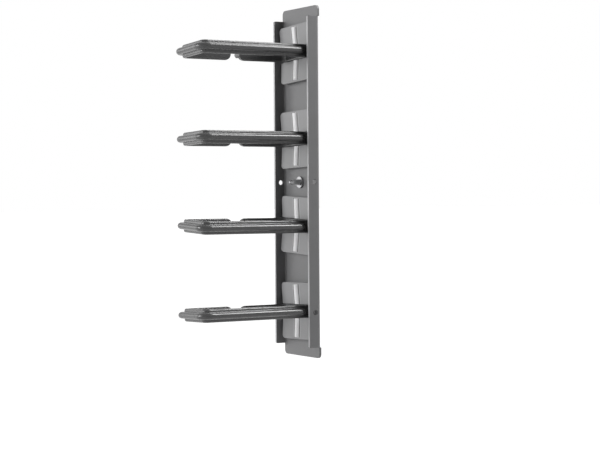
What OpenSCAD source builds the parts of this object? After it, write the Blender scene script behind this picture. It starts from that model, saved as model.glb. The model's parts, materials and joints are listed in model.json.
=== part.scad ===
// Vertical cable manager: a folded steel channel that stands off a rack post and carries
// a column of open cable rings. Each ring turns a few degrees on its own pivot stem.
// Frame: the origin is the centre of the stand-off pillar's rear face, on the rack post.
// +Z is up, the rings point towards -Y, and +X is the right-hand side seen from the front.

/* [Back channel] */
// Width over both flanges
channel_w = 45.5; // [44:0.5:60]
// Height of the flanges, from the rear face of the web
flange_h = 9.1; // [8.5:0.1:12]
// Thickness of the sheet steel
sheet_t = 1.5; // [1:0.1:2]
// Inside radius of the folds
fold_r = 0.8; // [0.5:0.1:1.2]
// Length of flange beyond the centre of the first and the last ring
end_margin = 23.6; // [22:0.2:40]
// Length of the flat tab that the web makes beyond the flanges
tab_len = 7.4; // [5:0.2:14]
// Corner radius of the tabs
tab_corner_r = 3; // [1:0.5:5]
// Corner radius at the free ends of the flanges
flange_corner_r = 1.2; // [0.5:0.1:3]
// Diameter of the small holes in the flanges
flange_hole_d = 3.4; // [2.5:0.1:4.5]

/* [Stand-off and stud] */
// Gap between the rack post and the web
standoff = 10; // [10:0.5:20]
// Hexagon of the pillar, across its flats
pillar_af = 8; // [7:0.5:10]
// Diameter of the threaded stud
stud_d = 4; // [3:0.5:5]
// How far the stud stands out of the front of the web
stud_out = 9; // [6:0.2:14]
// Length of the cone at the end of the stud
stud_cone = 3; // [1:0.2:3.4]
// How far the stud reaches into the pillar
stud_depth = 4; // [3:0.25:4]
// Depth of the threaded hole in the rear of the pillar
pillar_hole_depth = 4.5; // [3:0.25:4.5]
// Core diameter of that thread
pillar_hole_d = 3.3; // [2.5:0.1:4.2]
// Diameter of the head of the clinch nut
nut_head_d = 7.8; // [6.6:0.1:10]
// Thickness of the head of the clinch nut
nut_head_t = 1.4; // [0.8:0.1:2.5]
// Diameter of the shank of the clinch nut, which fills its hole in the web
nut_shank_d = 5.6; // [5.2:0.1:6.2]

/* [Cable rings] */
// Distance from one ring to the next
ring_pitch = 58.2; // [50:0.2:90]
// Resting lean of each ring about its pivot, in degrees, from the top ring down
ring_lean = [-3, -1.8, 2.6, -1.6]; // [-6:0.1:6]
// Distance of a ring's bead inside each side of the channel
ring_inset = 2.75; // [1:0.25:5]
// Reach of a ring, from its seat on the saddle plate
ring_reach = 85.2; // [60:0.1:130]
// Height of the ring's wall
ring_h = 8.7; // [7.5:0.1:10]
// Thickness of the ring's wall
wall_t = 2.6; // [2:0.1:3.5]
// How far the bead stands out of the wall
bead_out = 4.1; // [2.5:0.1:4.5]
// Thickness of the bead, whose nose is a full round
bead_t = 4.4; // [3:0.1:5]
// Fillet between the bead and the wall
bead_fillet = 0.6; // [0.2:0.1:0.8]
// Outer radius of the ring's two front corners, measured on the wall
ring_corner_r = 4.2; // [3.6:0.1:7]
// Outer radius of its two corners at the plate
base_corner_r = 5.5; // [3.6:0.1:7]
// Cable entry in the left wall, at its narrowest
entry_gap = 6.4; // [3:0.1:12]
// How far the entry lies behind the middle of the ring
entry_back = 1.4; // [0:0.1:8]

/* [Saddle plates] */
// Gap between a plate and each flange
plate_side_gap = 1.35; // [1.3:0.05:3]
// Height of a plate
plate_h = 38.5; // [28:0.5:42]
// Thickness of the seat, the slot across the plate that the ring sits in
seat_t = 1.7; // [1.5:0.1:2.2]
// Thickness of the wings above and below the ring
wing_t = 3.4; // [2.6:0.1:4]
// Corner radius of a plate
plate_corner_r = 4.5; // [3:0.5:6]
// Rounding of the plate's front side edges
plate_edge_r = 1.3; // [0.5:0.1:1.4]
// Angle by which the wings flare away from the web
plate_flare = 3.5; // [2:0.5:8]
// Width of the upright rib
rib_w = 5.2; // [3:0.2:7]
// How far the rib stands out of the wings
rib_out = 1.3; // [0.6:0.1:1.8]
// Length of plate left plain beyond each end of the rib
rib_inset = 1.2; // [0.6:0.2:4]

/* [Pivots] */
// Diameter of the pivot stem of a ring
stem_d = 8; // [7:0.1:8.4]
// Radial running clearance of the stem in the web and the plate
stem_clear = 0.05; // [0.02:0.01:0.1]
// End play of a ring, shared by the plate and the washer
end_play = 0.1; // [0.05:0.05:0.3]
// Diameter of the washer behind the web
pivot_washer_d = 14; // [12:0.5:20]
// Thickness of that washer
pivot_washer_t = 1; // [0.8:0.1:1.6]
// Diameter of the pivot screw's shank
screw_d = 3.4; // [2.5:0.1:4]
// Diameter of the screw's head
screw_head_d = 7; // [6:0.2:9]
// Height of the screw's head
screw_head_h = 2.4; // [1.8:0.1:3]
// Wall left in front of the screw's hole, in the base bar of the ring
screw_skin = 1.1; // [0.6:0.1:1.6]
// Width of the cross recess in the head
recess_w = 1; // [0.6:0.1:1.4]

/* [Hidden] */
$fn = 64;

// Clearance between a screw or stud and the hole round it
thread_clear = 0.05;
// Clearance between the ring's base bar and the edges of the slot, which key it
key_clear = 0.2;
// How far a cutting shape runs past the surface it cuts
past = 1;
// What a plate's blank is trimmed by on each side
blank_trim = 0.1;

// Rings, from the top down, centred on the pillar
ring_count = len(ring_lean);
function ring_z(i) = ((ring_count - 1) / 2 - i) * ring_pitch;
flange_top = ring_z(0) + end_margin;

// Planes from the rack post forwards, all at negative Y
web_rear = -standoff;
web_front = web_rear - sheet_t;
flange_edge = web_rear - flange_h;
flange_mid = web_rear - flange_h / 2;
plate_back = web_front - end_play;
seat_front = plate_back - seat_t;
ring_front = seat_front - ring_reach;
stem_end = web_rear + end_play;
washer_rear = stem_end + pivot_washer_t;

// The ring's plan, measured on its wall
ring_w = channel_w - 2 * ring_inset;
wall_half = ring_w / 2 - bead_out;
inner_half = wall_half - wall_t;
wall_front = ring_front + bead_out;
bar_front = seat_front - wall_t;
front_corner_half = wall_half - ring_corner_r;
base_corner_half = wall_half - base_corner_r;
base_corner_y = seat_front - base_corner_r;
front_corner_y = wall_front + ring_corner_r;
bead_end_y = base_corner_y - bead_out;
entry_y = (seat_front + ring_front) / 2 + entry_back;

// The plate
plate_half = channel_w / 2 - sheet_t - plate_side_gap;
slot_half = ring_h / 2 + key_clear;

// The pivot screw's hole ends inside the base bar, and the screw stops short of it
screw_hole_end = bar_front + screw_skin;
screw_tip = screw_hole_end + 0.5;

stem_r = stem_d / 2;
stud_r = stud_d / 2;

// A rod along Y, from one plane to another that lies further back
module rod_y(r, from, to) {
  translate([0, from, 0]) rotate([-90, 0, 0]) cylinder(r = r, h = to - from);
}

// A rectangle centred on x, from y_front to y_rear, with its two rear corners rounded
module rear_rounded(half, y_front, y_rear, r) {
  translate([-half, y_front]) square([2 * half, y_rear - r - y_front]);
  translate([r - half, y_front]) square([2 * (half - r), y_rear - y_front]);
  intersection() {
    for (side = [-1, 1])
      translate([side * (half - r), y_rear - r]) circle(r);
    translate([-half, y_front]) square([2 * half, y_rear - y_front]);
  }
}

// A rectangle centred on the origin with all its corners rounded
module rounded_rect(w, h, r) {
  square([w - 2 * r, h], center = true);
  square([w, h - 2 * r], center = true);
  for (x = [-1, 1], y = [-1, 1])
    translate([x * (w / 2 - r), y * (h / 2 - r)]) circle(r);
}

// Places its children at ring i, leaning with it
module at_ring(i) {
  translate([0, 0, ring_z(i)]) rotate([0, ring_lean[i], 0]) children();
}

// ---- Back channel ----

module channel_section() {
  difference() {
    rear_rounded(channel_w / 2, flange_edge, web_rear, sheet_t + fold_r);
    rear_rounded(channel_w / 2 - sheet_t, flange_edge - past, web_front, fold_r);
  }
}

// The flat tab beyond the upper end of the flanges
module end_tab() {
  translate([0, web_front, flange_top]) intersection() {
    rotate([-90, 0, 0]) linear_extrude(sheet_t)
      rounded_rect(channel_w, 2 * tab_len, tab_corner_r);
    translate([-channel_w / 2, 0, 0]) cube([channel_w, sheet_t, tab_len]);
  }
}

// What rounds off the free corners at the upper end of the flanges
module flange_corner_cut() {
  r = flange_corner_r;
  translate([-channel_w / 2 - past, flange_edge, flange_top]) difference() {
    translate([0, -past, -r]) cube([channel_w + 2 * past, r + past, r + past]);
    translate([-past, r, -r]) rotate([0, 90, 0]) cylinder(r = r, h = channel_w + 4 * past);
  }
}

module flange_holes(z) {
  translate([-channel_w / 2 - past, flange_mid, z]) rotate([0, 90, 0])
    cylinder(d = flange_hole_d, h = channel_w + 2 * past);
}

module back_channel() {
  color("dimgray") difference() {
    union() {
      translate([0, 0, -flange_top]) linear_extrude(2 * flange_top) channel_section();
      for (end = [0, 1]) mirror([0, 0, end]) end_tab();
    }
    for (end = [0, 1]) mirror([0, 0, end]) flange_corner_cut();
    for (i = [0 : ring_count - 1]) translate([0, 0, ring_z(i)])
      rod_y(stem_r + stem_clear, web_front - past, web_rear + past);
    rod_y(nut_shank_d / 2 + thread_clear, web_front - past, web_rear + past);
    flange_holes(0);
    flange_holes(ring_z(ring_count - 1));
  }
}

// ---- Stand-off and stud ----

module standoff_pillar() {
  color("silver") difference() {
    translate([0, web_rear, 0]) rotate([-90, 0, 0])
      cylinder(d = pillar_af / cos(30), h = standoff, $fn = 6);
    rod_y(stud_r + thread_clear, web_rear - past, web_rear + stud_depth + 0.2);
    rod_y(pillar_hole_d / 2, -pillar_hole_depth, past);
  }
}

module mounting_stud() {
  tip = web_front - stud_out;
  color("dimgray") {
    rod_y(stud_r, tip + stud_cone, web_rear + stud_depth);
    translate([0, tip, 0]) rotate([-90, 0, 0])
      cylinder(r1 = stud_r * 0.35, r2 = stud_r, h = stud_cone);
  }
}

module clinch_nut() {
  head_front = web_front - nut_head_t;
  color("gray") difference() {
    union() {
      rod_y(nut_head_d / 2, head_front, web_front);
      rod_y(nut_shank_d / 2, head_front, web_rear);
    }
    rod_y(stud_r + thread_clear, head_front - past, web_rear + past);
  }
}

// ---- Cable ring ----

// The bead, outwards from the wall's outer face: flat sides and a full-round nose
module bead_profile() {
  nose = bead_t / 2;
  translate([0, -nose]) square([bead_out - nose, bead_t]);
  intersection() {
    translate([bead_out - nose, 0]) circle(nose);
    translate([0, -nose]) square([bead_out, bead_t]);
  }
}

// The fillets where the bead's sides meet the wall
module bead_fillets() {
  for (side = [0, 1]) mirror([0, side])
    translate([0, bead_t / 2]) difference() {
      translate([-bead_fillet / 2, -bead_fillet / 2]) square(bead_fillet * 1.5);
      translate([bead_fillet, bead_fillet]) circle(bead_fillet);
    }
}

// The wall with full-round lips, outwards from its inner face
module wall_profile(beaded) {
  lip = wall_t / 2;
  translate([0, lip - ring_h / 2]) square([wall_t, ring_h - wall_t]);
  for (side = [-1, 1])
    translate([lip, side * (ring_h / 2 - lip)]) circle(lip);
  if (beaded) translate([wall_t, 0]) {
    bead_profile();
    bead_fillets();
  }
}

// A straight wall that faces +X, its inner face on x = 0, from y_front to y_rear
module wall(y_front, y_rear, beaded) {
  translate([0, y_rear, 0]) rotate([90, 0, 0])
    linear_extrude(y_rear - y_front) wall_profile(beaded);
}

// A corner of outer radius r that turns from +X to +Y
module corner(r, beaded) {
  rotate_extrude(angle = 90) translate([r - wall_t, 0]) wall_profile(beaded);
}

// The right-hand half of the loop
module half_loop() {
  translate([inner_half, 0, 0]) {
    wall(front_corner_y, bead_end_y, true);
    wall(bead_end_y, base_corner_y, false);
  }
  translate([wall_half, bead_end_y, 0]) rotate_extrude(angle = 90) bead_profile();
  translate([base_corner_half, base_corner_y, 0]) corner(base_corner_r, false);
  translate([front_corner_half, front_corner_y, 0]) rotate([0, 0, -90]) corner(ring_corner_r, true);
  translate([0, wall_front + wall_t, 0]) rotate([0, 0, -90]) wall(0, front_corner_half, true);
  translate([0, bar_front, 0]) rotate([0, 0, 90]) wall(-base_corner_half, 0, false);
}

// What the cable entry takes out of the left wall: it leaves two full-round ends
module entry_cut() {
  r = ring_h / 2;
  depth = wall_t + bead_out + 2 * past;
  translate([-ring_w / 2 - past, entry_y, 0]) difference() {
    translate([0, -entry_gap / 2 - r, -r - past]) cube([depth, entry_gap + 2 * r, ring_h + 2 * past]);
    for (side = [-1, 1]) translate([-past, side * (entry_gap / 2 + r), 0])
      rotate([0, 90, 0]) cylinder(r = r, h = depth + 2 * past);
  }
}

module cable_ring(i) {
  color("#2a2b2d") at_ring(i) difference() {
    union() {
      for (side = [0, 1]) mirror([side, 0, 0]) half_loop();
      rod_y(stem_r, seat_front - wall_t / 2, stem_end);
    }
    entry_cut();
    rod_y(screw_d / 2 + thread_clear, screw_hole_end, stem_end + past);
  }
}

// ---- Saddle plate ----

// Across the plate's blank, t thick: flat back on y = 0, front side edges rounded
module plate_section(t) {
  rotate(180) rear_rounded(plate_half + blank_trim, 0, t, plate_edge_r);
}

// Across the rib: the part of a circle that stands out of a wing's front
module rib_section() {
  r = (pow(rib_w / 2, 2) + pow(rib_out, 2)) / (2 * rib_out);
  intersection() {
    translate([0, r - rib_out - wing_t]) circle(r);
    translate([-rib_w, -wing_t - rib_out - past]) square([2 * rib_w, rib_out + past + wing_t / 4]);
  }
}

// The wing above the ring, flaring towards the front from the top of the slot
module wing() {
  translate([0, plate_back, slot_half]) rotate([plate_flare, 0, 0]) {
    linear_extrude(plate_h / 2) plate_section(wing_t);
    linear_extrude((plate_h / 2 - rib_inset - slot_half) / cos(plate_flare)) rib_section();
  }
}

// What trims the blank to the plate's outline and rounds its four corners
module blank_surround() {
  translate([0, plate_back + past, 0]) rotate([90, 0, 0]) linear_extrude(4 * wing_t) difference() {
    square([channel_w, 2 * plate_h], center = true);
    rounded_rect(2 * plate_half, plate_h, plate_corner_r);
  }
}

// The slot across the plate that the ring's base bar lies in
module seat_slot() {
  depth = wing_t + rib_out + past;
  translate([-channel_w / 2, seat_front - depth, -slot_half]) cube([channel_w, depth, 2 * slot_half]);
}

module saddle_plate(i) {
  color("dimgray") at_ring(i) difference() {
    union() {
      translate([0, plate_back, -slot_half]) linear_extrude(2 * slot_half) plate_section(seat_t);
      for (end = [0, 1]) mirror([0, 0, end]) wing();
    }
    blank_surround();
    seat_slot();
    rod_y(stem_r + stem_clear, seat_front - past, plate_back + past);
  }
}

// ---- Pivot fasteners ----

module pivot_washer(i) {
  color("silver") at_ring(i) difference() {
    rod_y(pivot_washer_d / 2, stem_end, washer_rear);
    rod_y(screw_d / 2 + 3 * thread_clear, stem_end - past, washer_rear + past);
  }
}

// A pan head with a cross recess, on a plain shank
module pivot_screw(i) {
  head_rear = washer_rear + screw_head_h;
  dome_r = (pow(screw_head_d / 2, 2) + pow(screw_head_h, 2)) / screw_head_h / 1.6;
  color("silver") at_ring(i) difference() {
    union() {
      intersection() {
        rod_y(screw_head_d / 2, washer_rear, head_rear);
        translate([0, head_rear - dome_r, 0]) sphere(dome_r);
      }
      rod_y(screw_d / 2, screw_tip, washer_rear + past);
    }
    for (turn = [0, 90]) rotate([0, turn, 0])
      translate([-screw_d / 2, head_rear - screw_head_h / 2, -recess_w / 2])
        cube([screw_d, screw_head_h, recess_w]);
  }
}

back_channel();
standoff_pillar();
mounting_stud();
clinch_nut();
for (i = [0 : ring_count - 1]) {
  cable_ring(i);
  saddle_plate(i);
  pivot_washer(i);
  pivot_screw(i);
}
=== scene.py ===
"""Vertical cable manager: a folded steel channel with four open cable rings, dressed over its solids."""
import json
import math

import bpy
from mathutils import Matrix, Vector


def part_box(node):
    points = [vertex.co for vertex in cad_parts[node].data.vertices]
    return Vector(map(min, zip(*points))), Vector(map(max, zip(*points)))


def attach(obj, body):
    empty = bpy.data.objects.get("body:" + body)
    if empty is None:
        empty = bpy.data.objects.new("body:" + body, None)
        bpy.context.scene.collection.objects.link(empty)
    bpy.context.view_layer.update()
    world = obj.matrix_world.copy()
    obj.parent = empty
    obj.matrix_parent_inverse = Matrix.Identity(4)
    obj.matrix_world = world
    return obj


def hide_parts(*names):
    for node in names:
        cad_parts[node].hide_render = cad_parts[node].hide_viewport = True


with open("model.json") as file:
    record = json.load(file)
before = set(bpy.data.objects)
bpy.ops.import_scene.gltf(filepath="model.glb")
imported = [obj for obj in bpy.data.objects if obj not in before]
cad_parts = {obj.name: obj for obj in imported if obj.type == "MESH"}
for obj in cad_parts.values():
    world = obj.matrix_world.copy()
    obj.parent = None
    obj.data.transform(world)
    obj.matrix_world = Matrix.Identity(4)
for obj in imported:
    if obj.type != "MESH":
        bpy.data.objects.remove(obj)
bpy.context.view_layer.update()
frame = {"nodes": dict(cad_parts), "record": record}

# ---- Camera ----
# A long lens about a metre away, to the right of the channel and level with its middle,
# turned a little towards the front so that the rings run off to the left.
turn, dip, tilt = math.radians(31.04), math.radians(1.02), math.radians(0.40)
ahead = Vector((-math.cos(turn) * math.cos(dip), math.sin(turn) * math.cos(dip), -math.sin(dip)))
level = Vector((math.sin(turn), math.cos(turn), 0))
down = ahead.cross(level)
across = level * math.cos(tilt) + down * math.sin(tilt)
up = level * math.sin(tilt) - down * math.cos(tilt)
camera = bpy.data.objects.new("camera", bpy.data.cameras.new("camera"))
camera_at, lens, film_width = (0.9467, -0.5821, -0.0094), 97.42, 36
camera.matrix_world = (Matrix.Translation(camera_at)
                       @ Matrix((across, up, -ahead)).transposed().to_4x4())
camera.data.sensor_width, camera.data.lens = film_width, lens
camera.data.clip_start, camera.data.clip_end = 0.01, 100
bpy.context.scene.collection.objects.link(camera)
bpy.context.scene.camera = camera
bpy.context.scene.view_settings.view_transform = "Standard"


# ---- Studio ----
# A pale floor well below the channel, which hangs on its stand-off and touches nothing, and
# a white surround that the floor runs into with no line between them.
class Field:
    """A shader socket that arithmetic works on: each operator adds a Math node."""

    def __init__(self, nodes, socket=None):
        self.nodes, self.socket = nodes, socket

    def node(self, kind, settings=(), out=0, **inputs):
        made = self.nodes.new(kind)
        for name, value in dict(settings).items():
            setattr(made, name, value)
        for name, value in inputs.items():
            key = int(name[1:]) if name[1:].isdigit() else name.replace("_", " ")
            if isinstance(value, Field):
                self.nodes.id_data.links.new(value.socket, made.inputs[key])
            else:
                made.inputs[key].default_value = value
        return Field(self.nodes, made.outputs[out])

    def math(self, operation, *values):
        return self.node("ShaderNodeMath", {"operation": operation},
                         **{f"i{n}": value for n, value in enumerate(values)})

    def ramp(self, zero, one):
        """0 at the first value and 1 at the second, held level beyond them."""
        return self.node("ShaderNodeMapRange", Value=self, From_Min=zero, From_Max=one)

    def within(self, half, soft):
        """1 where the value lies within half of nought on either side."""
        return self.math("ABSOLUTE", self).ramp(half + soft / 2, half - soft / 2)

    def mix(self, first, second):
        """The first colour where this is 0, the second where it is 1."""
        return self.node("ShaderNodeMix", {"data_type": "RGBA"}, out=2, i0=self, i6=first, i7=second)

    def part(self, axis):
        return self.node("ShaderNodeSeparateXYZ", out=axis, Vector=self)

    def feed(self, socket):
        self.nodes.id_data.links.new(self.socket, socket)

    def __add__(self, other): return self.math("ADD", self, other)
    def __sub__(self, other): return self.math("SUBTRACT", self, other)
    def __mul__(self, other): return self.math("MULTIPLY", self, other)
    def __rsub__(self, other): return self.math("SUBTRACT", other, self)
    __radd__, __rmul__ = __add__, __mul__


def seen(nodes):
    """1 on the rays that show a surface as it looks: the camera's, and those of gloss and glass."""
    rays = [Field(nodes).node("ShaderNodeLightPath", out=f"Is {kind} Ray")
            for kind in ("Camera", "Glossy", "Transmission")]
    return rays[0].math("MAXIMUM", rays[0].math("MAXIMUM", rays[0], rays[1]), rays[2])


world = bpy.data.worlds.new("studio")
world.use_nodes = True
bpy.context.scene.world = world
surround = world.node_tree.nodes["Background"]
seen(world.node_tree.nodes).mix((0.04, 0.04, 0.04, 1), (1, 1, 1, 1)).feed(surround.inputs["Color"])

floor_z, floor_half = -0.30, 30
mesh = bpy.data.meshes.new("floor")
mesh.from_pydata([(x * floor_half, y * floor_half, floor_z) for x, y in ((-1, -1), (1, -1), (1, 1), (-1, 1))],
                 [], [(0, 1, 2, 3)])
floor = bpy.data.objects.new("floor", mesh)
bpy.context.scene.collection.objects.link(floor)
paper = bpy.data.materials.new("white_paper")
paper.use_nodes = True
sheen = paper.node_tree.nodes["Principled BSDF"]
sheen.inputs["Base Color"].default_value = (0.82, 0.82, 0.82, 1)
sheen.inputs["Roughness"].default_value = 0.9
spot = Field(paper.node_tree.nodes).node("ShaderNodeTexCoord", out="Object")
away = spot.node("ShaderNodeVectorMath", {"operation": "LENGTH"}, out="Value", i0=spot)
shadow_reach, white_from, dimmest = 0.45, 0.85, 0.4
glow = (away.ramp(shadow_reach, white_from) * (1 - dimmest) + dimmest) * seen(paper.node_tree.nodes)
glow.node("ShaderNodeCombineColor", Red=glow, Green=glow, Blue=glow).feed(sheen.inputs["Emission Color"])
sheen.inputs["Emission Strength"].default_value = 1
mesh.materials.append(paper)


def lamp(name, at, size, power, aim=(0, -0.03, 0)):
    """A soft square lamp at one point, facing another, in metres and watts."""
    light = bpy.data.lights.new(name, "AREA")
    light.shape, light.size, light.energy = "SQUARE", size, power
    made = bpy.data.objects.new(name, light)
    made.location = at
    made.rotation_euler = (Vector(aim) - Vector(at)).to_track_quat("-Z", "Y").to_euler()
    bpy.context.scene.collection.objects.link(made)


lamp("front", (-0.20, -0.95, 0.20), 0.45, 6.5)
lamp("front_left", (-0.70, -0.62, 0.12), 0.45, 1.5)
lamp("high_right", (0.30, 0.35, 0.50), 0.28, 5.0)
lamp("behind_overhead", (0.0, 0.45, 0.75), 0.50, 3.0)
lamp("behind_left", (-0.60, 0.50, 0.40), 0.45, 2.3)

# ---- Back channel ----
# Cold-rolled sheet, folded twice and punched, then powder coated: an even dark satin coat with
# a fine orange-peel skin. On the cut edges of the flanges the coat is thin; their lighter colour is
# the bare zinc together with a painted highlight where light catches the edges.


def satin(nodes, tone_drift=0.10, grain=0.0004):
    """The place on the piece, its fine grain, and a slow and a fine drift in tone round 1."""
    place = Field(nodes).node("ShaderNodeTexCoord", out="Object")
    fine = place.node("ShaderNodeTexNoise", Vector=place, Scale=1 / grain, Detail=2.0, Roughness=0.6)
    slow = place.node("ShaderNodeTexNoise", Vector=place, Scale=45.0, Detail=3.0, Roughness=0.55)
    drift = (slow.ramp(0.3, 0.7) - 0.5) * tone_drift + (fine.ramp(0.3, 0.7) - 0.5) * (tone_drift * 0.8)
    return place, fine, drift


def finish(name, colour, roughness, relief, specular, bare_and_painted_light=None, bare_and_highlight_colour=(1, 1, 1), grain=0.0004,
           groove=None):
    """A skin with grain, a drifting tone and softened edges. The masks function gives where the colour is
    lightened, for bare metal and for painted highlights, and where painted shade darkens it, or None; groove
    gives a height to take away."""
    soft_edge, bright_roughness, painted_shade_colour = 0.00025, 0.3, (0.02, 0.02, 0.02, 1)
    made = bpy.data.materials.new(name)
    made.use_nodes = True
    nodes = made.node_tree.nodes
    shader = nodes["Principled BSDF"]
    place, fine, drift = satin(nodes, grain=grain)
    shade = place.node("ShaderNodeVectorMath", {"operation": "SCALE"}, i0=colour, Scale=drift + 1)
    height = fine
    gloss = drift * 0.9 + roughness
    if bare_and_painted_light:
        # The first mask lightens the colour (bare metal and painted highlight); the second darkens it nearly
        # to black, as painted shade.
        bright, painted_shade_mask = bare_and_painted_light(place)
        shade = bright.mix(shade, (*bare_and_highlight_colour, 1))
        gloss = gloss - bright * (roughness - bright_roughness)
        height = fine * (1 - bright)
        if painted_shade_mask is not None:
            shade = painted_shade_mask.mix(shade, painted_shade_colour)
    if groove:
        height = height - groove(place)
    shade.feed(shader.inputs["Base Color"])
    gloss.feed(shader.inputs["Roughness"])
    shader.inputs["Specular IOR Level"].default_value = specular
    soft = place.node("ShaderNodeBevel", {"samples": 6}, Radius=soft_edge)
    skin = place.node("ShaderNodeBump", Strength=0.5, Distance=relief, Height=height, Normal=soft)
    skin.feed(shader.inputs["Normal"])
    return made


def dress(node, material):
    made = frame["nodes"][node]
    made.data.materials.clear()
    made.data.materials.append(material)
    for face in made.data.polygons:
        face.material_index = 0


flange_edge_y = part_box("back_channel")[0][1]


# Lighter cut edges: partly bare zinc, partly a painted highlight along the flanges' front edges.
def cut_edge(place):
    coat_starts, coat_ends = flange_edge_y + 0.0003, flange_edge_y + 0.0001
    return place.part("Y").ramp(coat_starts, coat_ends), None


dress("back_channel", finish("dark_powder_coat", (0.16, 0.16, 0.163), 0.5, 0.00002, 0.4,
                             bare_and_painted_light=cut_edge, bare_and_highlight_colour=(0.42, 0.42, 0.43)))

# ---- Saddle plates ----
# One under each ring, pressed from thicker sheet and coated to match. The ring's base bar lies in the slot
# across the plate. Down the upright rib a light strip is a painted highlight; beside it a dark line is
# painted shade, and a thin lighter line past that is a painted highlight.
pivots = {joint["child"]: joint for joint in frame["record"]["behaviour"]["joints"]}


def own_axes(place, unit):
    """The place across and along a leaning ring unit, from the hinge that carries it."""
    hinge = pivots[unit]
    lean = -math.radians(sum(hinge["range_deg"]) / 2)
    x, z = place.part("X"), place.part("Z") - hinge["pos_m"][2]
    return x * math.cos(lean) - z * math.sin(lean), x * math.sin(lean) + z * math.cos(lean)


def rib_highlight_and_shade(unit):
    rib_half, rib_end, slot_half = 0.0026, 0.01805, 0.00455
    shade_line_half, glint_half, blur, front_blur = 0.0038, 0.0045, 0.0003, (-0.0135, -0.0140)

    def masks(place):
        x, z = own_axes(place, unit)
        front = place.part("Y").ramp(*front_blur)
        upright = z.within(rib_end, 0.0001) * (1 - z.within(slot_half, 0.0001)) * front
        rib_highlight = x.within(rib_half, 0.0002) * upright
        glint = (x.within(glint_half, blur) - x.within(shade_line_half, blur)) * upright
        groove = (x.within(shade_line_half, blur) - x.within(rib_half, 0.0002)) * upright
        # First mask: painted highlight down the rib, plus a fainter painted highlight line past the dark
        # line. Second mask: a painted shade line beside the rib, with no groove in the surface.
        return rib_highlight + glint * 0.25, groove * 0.85
    return masks


for n in range(1, 5):
    dress(f"saddle_plate_{n}", finish(f"saddle_plate_coat_{n}", (0.22, 0.22, 0.224), 0.42, 0.00002, 0.4,
                                      bare_and_painted_light=rib_highlight_and_shade(f"ring_unit_{n}"), bare_and_highlight_colour=(0.72, 0.72, 0.73)))

# ---- Cable rings ----
# Injection moulded in a black semi-gloss plastic, band, bead and pivot stem in one piece. The two
# halves of the mould leave a fine line round the nose of the bead.


def parting_line(unit):
    return lambda place: own_axes(place, unit)[1].within(0.00006, 0.00006) * -1.5


for n in range(1, 5):
    dress(f"cable_ring_{n}", finish(f"ring_plastic_skin_{n}", (0.05, 0.05, 0.051), 0.27, 0.00001, 0.5,
                                    grain=0.0006, groove=parting_line(f"ring_unit_{n}")))

# ---- Mounting stud ----
# A 4 mm steel stud with a rolled thread and a turned cone at its end, zinc plated and passivated
# dark. It is screwed through the clinch nut into the stand-off pillar.


def plate_metal(name, colour, roughness):
    made = bpy.data.materials.new(name)
    made.use_nodes = True
    nodes = made.node_tree.nodes
    shader = nodes["Principled BSDF"]
    place, fine, drift = satin(nodes, tone_drift=0.2, grain=0.0008)
    shader.inputs["Metallic"].default_value = 1
    place.node("ShaderNodeVectorMath", {"operation": "SCALE"}, i0=colour, Scale=drift + 1).feed(
        shader.inputs["Base Color"])
    (drift * 0.5 + roughness).feed(shader.inputs["Roughness"])
    place.node("ShaderNodeBevel", {"samples": 6}, Radius=0.0002).feed(shader.inputs["Normal"])
    return made


thread_pitch, thread_depth, cone_length, cone_tip = 0.0007, 0.00043, 0.003, 0.0007
around, per_pitch = 48, 10
flank_rise, root_flat = 2.6, 0.15
(low_x, tip_y, low_z), (high_x, root_y, high_z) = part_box("mounting_stud")
crest_r = (high_x - low_x) / 2
rows = round((root_y - tip_y) / thread_pitch * per_pitch)
verts, faces = [], []
for row in range(rows + 1):
    y = tip_y + (root_y - tip_y) * row / rows
    cone_r = cone_tip + (crest_r - cone_tip) * min((y - tip_y) / cone_length, 1)
    for step in range(around):
        angle = 2 * math.pi * step / around
        phase = ((y - tip_y) / thread_pitch + step / around) % 1
        flank = min(max(flank_rise * abs(phase - 0.5) - root_flat, 0), 1)
        r = min(crest_r - thread_depth * (1 - flank), cone_r)
        verts.append((r * math.cos(angle), y, r * math.sin(angle)))
for row in range(rows):
    for step in range(around):
        beside = (step + 1) % around
        faces.append((row * around + step, row * around + beside,
                      (row + 1) * around + beside, (row + 1) * around + step))
faces.append(tuple(range(around - 1, -1, -1)))
faces.append(tuple(rows * around + step for step in range(around)))
mesh = bpy.data.meshes.new("threaded_stud")
mesh.from_pydata([(x, y, z + (low_z + high_z) / 2) for x, y, z in verts], [], faces)
mesh.flip_normals()
stud = bpy.data.objects.new("threaded_stud", mesh)
bpy.context.scene.collection.objects.link(stud)
dark_zinc = plate_metal("dark_zinc", (0.26, 0.26, 0.265), 0.3)
mesh.materials.append(dark_zinc)
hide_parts("mounting_stud")
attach(stud, "back_frame")

# ---- Clinch nut, stand-off pillar and pivot fasteners ----
# Turned and headed steel parts. The nut is pressed into the web and plated with the stud; the
# pillar, washers and pivot screws behind the web are bright zinc.
dress("clinch_nut", dark_zinc)
zinc = plate_metal("bright_zinc", (0.62, 0.63, 0.64), 0.3)
dress("standoff_pillar", zinc)
for n in range(1, 5):
    dress(f"pivot_washer_{n}", zinc)
    dress(f"pivot_screw_{n}", zinc)
